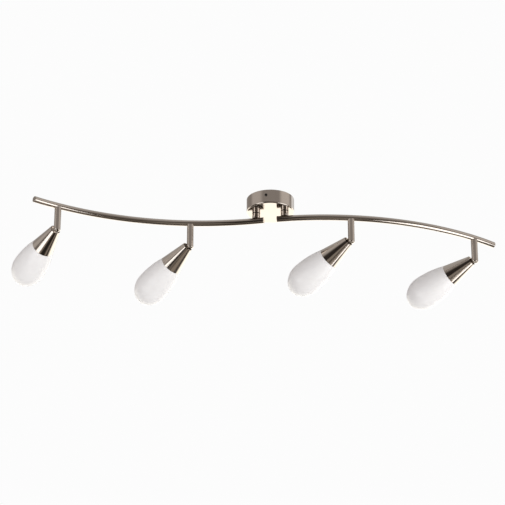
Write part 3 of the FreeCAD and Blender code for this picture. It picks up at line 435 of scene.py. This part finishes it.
def paint_all():
    paint_nickel()
    paint_by_slot(
        {
            "zinc_steel": rough_metal("zinc_plated_steel", ZINC, gloss=0.42, grain_scale=420.0),
            "dark_steel": rough_metal("blackened_steel", DARK_STEEL, gloss=0.35, grain_scale=700.0),
            "brass": rough_metal("turned_brass", BRASS, gloss=0.25, grain_scale=600.0),
            "white_polyamide": moulded("polyamide", POLYAMIDE, gloss=0.45),
            "black_nylon": moulded("nylon", NYLON, gloss=0.5),
            "seal_rubber": moulded("silicone_rubber", SEAL, gloss=0.6, Sheen_Weight=0.2),
            "silicone_insulation": core_insulation(),
            "earth_insulation": earth_insulation(),
            "ceramic": ceramic(),
            "clear_glass": clear_glass(),
            "opal_glass": opal_glass(),
        }
    )


# ---------------------------------------------------------------- studio


def clear_scene():
    """Remove what an empty file starts with, so that only the fixture counts in its bounds."""
    for item in list(bpy.data.objects):
        bpy.data.objects.remove(item)


def add_camera():
    camera = bpy.data.objects.new("camera", bpy.data.cameras.new("camera"))
    camera.data.sensor_width = SENSOR_WIDTH
    camera.data.lens = FOCAL_LENGTH
    camera.data.clip_end = VIEW_DEPTH
    camera.location = CAMERA_PLACE
    camera.rotation_euler = (math.pi / 2 + CAMERA_PITCH, 0, CAMERA_TURN)
    bpy.context.scene.collection.objects.link(camera)
    bpy.context.scene.camera = camera


def add_softbox(name, azimuth, elevation, width, height, radiance):
    """A rectangular light in a direction from the fixture, facing it."""
    turn = math.radians(azimuth)
    rise = math.radians(elevation)
    way = Vector((math.cos(rise) * math.cos(turn), math.cos(rise) * math.sin(turn), math.sin(rise)))
    light = bpy.data.lights.new(name, "AREA")
    light.shape = "RECTANGLE"
    light.size = width
    light.size_y = height
    light.energy = radiance * math.pi * width * height
    box = bpy.data.objects.new(name, light)
    box.location = way * SOFTBOX_DISTANCE
    box.rotation_euler = way.to_track_quat("Z", "Y").to_euler()
    box.visible_camera = False
    bpy.context.scene.collection.objects.link(box)


def add_floor():
    """A pale floor far below, which the fixture neither reflects nor takes light from."""
    glow = {"Emission_Strength": FLOOR_GLOW, "Emission_Color": (1, 1, 1, 1)}
    mesh = bpy.data.meshes.new("floor")
    mesh.materials.append(moulded("pale_floor", PALE_FLOOR, gloss=0.7, **glow))
    signs = ((-1, -1), (1, -1), (1, 1), (-1, 1))
    corners = [(x * FLOOR_HALF, y * FLOOR_HALF, FLOOR_HEIGHT) for x, y in signs]
    mesh.from_pydata(corners, [], [(0, 1, 2, 3)])
    floor = bpy.data.objects.new("floor", mesh)
    bpy.context.scene.collection.objects.link(floor)
    floor.visible_glossy = False
    floor.visible_diffuse = False
    floor.visible_transmission = False


def reflected_room(studio, direction):
    """A dim warm room that gets lighter upwards, with a white backdrop behind the fixture."""
    height = studio.add("SeparateXYZ", (direction,)).outputs[2]
    room = studio.ramp(studio.math("MULTIPLY_ADD", height, 0.5, 0.5), ROOM_STEPS)
    for way, reach, colour in ROOM_PATCHES:
        room = studio.blend(studio.smooth(studio.dot(direction, way), *reach), room, colour)
    sideways = studio.smooth(studio.dot(direction, BACKDROP_WAY), *BACKDROP_SIDE)
    edges = [studio.smooth(height, *edge) for edge in (BACKDROP_FOOT, BACKDROP_TOP)]
    upwards = studio.math("MULTIPLY", *edges)
    return studio.blend(studio.math("MULTIPLY", sideways, upwards), room, BACKDROP_GLOW)


def add_world():
    """A room for reflections, plain white for the camera, and a soft light all round for the rest."""
    world = bpy.data.worlds.new("studio")
    world.use_nodes = True
    bpy.context.scene.world = world
    studio = Nodes(world.node_tree)
    direction = studio.add("TexCoord").outputs["Generated"]
    towards_fill = studio.smooth(studio.dot(direction, FILL_WAY), -1.0, 1.0)
    fill = studio.blend(towards_fill, FILL_DIM, FILL_BRIGHT)
    rays = studio.add("LightPath").outputs
    unseen = studio.blend(rays["Is Glossy Ray"], fill, reflected_room(studio, direction))
    shown = studio.blend(rays["Is Camera Ray"], unseen, SEEN_WHITE)
    studio.feed(studio.tree.nodes["Background"].inputs["Color"], shown)


def add_studio():
    bpy.context.scene.view_settings.view_transform = "Standard"
    add_camera()
    add_world()
    add_floor()
    for name, shape in SOFTBOXES.items():
        add_softbox(name, **shape)


clear_scene()
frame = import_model()
paint_all()
add_studio()
